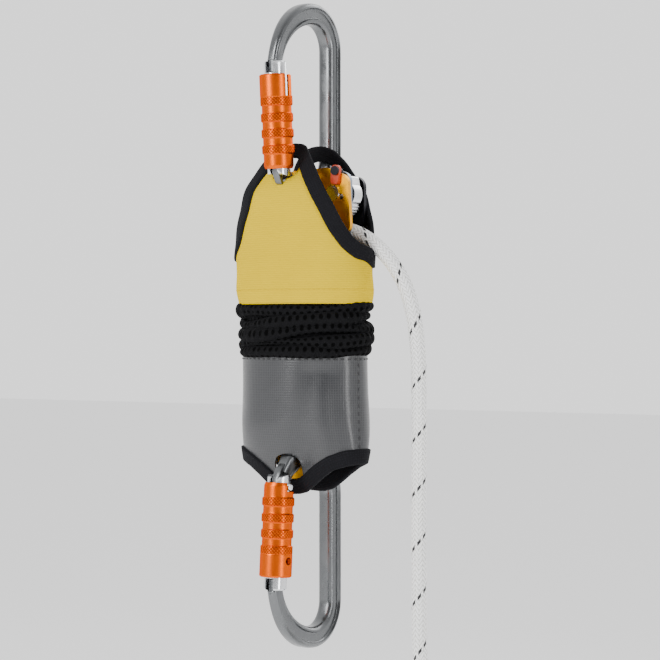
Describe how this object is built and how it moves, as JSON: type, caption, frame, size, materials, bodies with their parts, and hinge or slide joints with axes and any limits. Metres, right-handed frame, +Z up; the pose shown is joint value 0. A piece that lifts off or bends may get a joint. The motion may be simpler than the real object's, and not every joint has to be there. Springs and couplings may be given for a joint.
{
  "type": "rope grab",
  "caption": "Textile-covered pulley haul kit with progress-capture cam, a locking ring at each end and a free braided rope.",
  "frame": {"origin": "bearing surface inside the top of the upper carabiner, on the ring's plane", "axes": "+Z up along the haul direction, -Y towards the two gates (the front), X across the rings"},
  "size_m": [0.1362, 0.0833, 0.5685],
  "materials": {
    "forged_grey": "satin anodised forging",
    "bright_steel": "satin",
    "spring_steel": "drawn wire",
    "anodised_orange": "anodised, knurled bands",
    "gold_plate": "anodised sheet",
    "grey_plate": "brushed sheet",
    "cam_steel": "cast and polished",
    "black_pin": "black oxide",
    "sheave_metal": "turned",
    "bearing_metal": "plain bearing",
    "black_plastic": "moulded",
    "orange_plastic": "moulded",
    "rope_white": "braided sheath with a dark tracer",
    "yellow_fabric": "woven",
    "black_webbing": "woven tape",
    "grey_coated_fabric": "coated, fine grid",
    "black_mesh": "knitted mesh"
  },
  "bodies": {
    "upper_carabiner": {"upper_carabiner_frame": "forged_grey", "upper_gate_rivet": "bright_steel"},
    "upper_gate": {"upper_gate": "bright_steel", "upper_gate_plunger": "bright_steel", "upper_gate_spring": "spring_steel", "upper_lock_spring": "spring_steel"},
    "upper_lock_bush": {"upper_lock_bush": "black_plastic"},
    "upper_lock_sleeve": {"upper_lock_sleeve": "anodised_orange"},
    "upper_front_sheave": {"upper_front_sheave": "sheave_metal", "upper_front_bearing": "bearing_metal"},
    "upper_rear_sheave": {"upper_rear_sheave": "sheave_metal", "upper_rear_bearing": "bearing_metal"},
    "lower_carabiner": {"lower_carabiner_frame": "forged_grey", "lower_gate_rivet": "bright_steel"},
    "lower_gate": {"lower_gate": "bright_steel", "lower_gate_plunger": "bright_steel", "lower_gate_spring": "spring_steel", "lower_lock_spring": "spring_steel"},
    "lower_lock_bush": {"lower_lock_bush": "black_plastic"},
    "lower_lock_sleeve": {"lower_lock_sleeve": "anodised_orange"},
    "lower_front_sheave": {"lower_front_sheave": "sheave_metal", "lower_front_bearing": "bearing_metal"},
    "lower_rear_sheave": {"lower_rear_sheave": "sheave_metal", "lower_rear_bearing": "bearing_metal"},
    "upper_block": {"upper_front_plate": "gold_plate", "upper_centre_plate": "grey_plate", "upper_rear_plate": "black_pin", "upper_axle": "bright_steel", "upper_axle_nut": "bright_steel", "cam_pin": "bright_steel", "cam_spring": "spring_steel", "cam_catch_pin": "black_pin", "upper_rope_wraps": "rope_white", "rope_eye": "rope_white", "rope_eye_splice": "black_plastic", "rope_strands": "rope_white", "upper_cover": "yellow_fabric", "upper_cover_binding": "black_webbing", "gathered_mesh": "black_mesh", "rope_tail": "rope_white", "rope_hank": "rope_white", "hank_tie": "black_webbing", "rope_end": "black_plastic"},
    "lower_block": {"lower_front_plate": "gold_plate", "lower_centre_plate": "grey_plate", "lower_rear_plate": "black_pin", "lower_axle": "bright_steel", "lower_axle_nut": "bright_steel", "lower_rope_wraps": "rope_white", "lower_cover": "grey_coated_fabric", "lower_cover_binding": "black_webbing"},
    "cam": {"cam": "cam_steel"},
    "cam_catch": {"cam_catch": "orange_plastic"}
  },
  "joints": [
    {"name": "upper_gate_swing", "type": "hinge", "parent": "upper_carabiner", "child": "upper_gate", "pos_m": [0, -0.0245, -0.0765], "axis": [-1, 0, 0], "range_deg": [0, 24], "stiffness_Nm_per_rad": 0.06, "springref_deg": -20.05},
    {"name": "upper_lock_lift", "type": "slide", "parent": "upper_gate", "child": "upper_lock_bush", "axis": [0, -0.0698, 0.9976], "range_m": [0, 0.003], "stiffness_N_per_m": 600, "springref_m": -0.003},
    {"name": "upper_lock_twist", "type": "hinge", "parent": "upper_lock_bush", "child": "upper_lock_sleeve", "pos_m": [0, -0.0245, -0.0765], "axis": [0, -0.0698, 0.9976], "range_deg": [0, 85], "stiffness_Nm_per_rad": 0.02, "springref_deg": -28.65},
    {"name": "lower_gate_swing", "type": "hinge", "parent": "lower_carabiner", "child": "lower_gate", "pos_m": [0, -0.0245, -0.2441], "axis": [1, 0, 0], "range_deg": [0, 24], "stiffness_Nm_per_rad": 0.06, "springref_deg": -20.05},
    {"name": "lower_lock_lift", "type": "slide", "parent": "lower_gate", "child": "lower_lock_bush", "axis": [0, -0.0698, -0.9976], "range_m": [0, 0.003], "stiffness_N_per_m": 600, "springref_m": -0.003},
    {"name": "lower_lock_twist", "type": "hinge", "parent": "lower_lock_bush", "child": "lower_lock_sleeve", "pos_m": [0, -0.0245, -0.2441], "axis": [0, -0.0698, -0.9976], "range_deg": [0, 85], "stiffness_Nm_per_rad": 0.02, "springref_deg": -28.65},
    {"name": "block_swing", "type": "hinge", "parent": "upper_carabiner", "child": "upper_block", "pos_m": [0, 0, -0.09275], "axis": [0, 1, 0], "range_deg": [-5, 5]},
    {"name": "haul", "type": "slide", "parent": "upper_block", "child": "lower_block", "axis": [0, 0, -1], "range_m": [0, 0.8], "deforming": ["rope_strands", "gathered_mesh"]},
    {"name": "lower_carabiner_swing", "type": "hinge", "parent": "lower_block", "child": "lower_carabiner", "pos_m": [0, 0, -0.22785], "axis": [0, 1, 0], "range_deg": [-5, 5]},
    {"name": "upper_front_sheave_spin", "type": "hinge", "parent": "upper_block", "child": "upper_front_sheave", "pos_m": [0, -0.0075, -0.12375], "axis": [0, 1, 0], "continuous": true},
    {"name": "upper_rear_sheave_spin", "type": "hinge", "parent": "upper_block", "child": "upper_rear_sheave", "pos_m": [0, 0.0075, -0.12375], "axis": [0, 1, 0], "continuous": true},
    {"name": "lower_front_sheave_spin", "type": "hinge", "parent": "lower_block", "child": "lower_front_sheave", "pos_m": [0, -0.0075, -0.19685], "axis": [0, 1, 0], "continuous": true},
    {"name": "lower_rear_sheave_spin", "type": "hinge", "parent": "lower_block", "child": "lower_rear_sheave", "pos_m": [0, 0.0075, -0.19685], "axis": [0, 1, 0], "continuous": true},
    {"name": "cam_swing", "type": "hinge", "parent": "upper_block", "child": "cam", "pos_m": [0.022, 0.0067, -0.091], "axis": [0, -1, 0], "range_deg": [0, 35], "stiffness_Nm_per_rad": 0.01, "springref_deg": -34.38},
    {"name": "cam_catch_swing", "type": "hinge", "parent": "upper_block", "child": "cam_catch", "pos_m": [0.025, -0.0077, -0.0795], "axis": [0, -1, 0], "range_deg": [0, 40]}
  ],
  "couplings": [
    {"joint": "lower_front_sheave_spin", "follows": "haul", "rad_per_m": -64.516},
    {"joint": "upper_front_sheave_spin", "follows": "haul", "rad_per_m": -129.03},
    {"joint": "lower_rear_sheave_spin", "follows": "haul", "rad_per_m": -193.55},
    {"joint": "upper_rear_sheave_spin", "follows": "haul", "rad_per_m": -258.06}
  ]
}
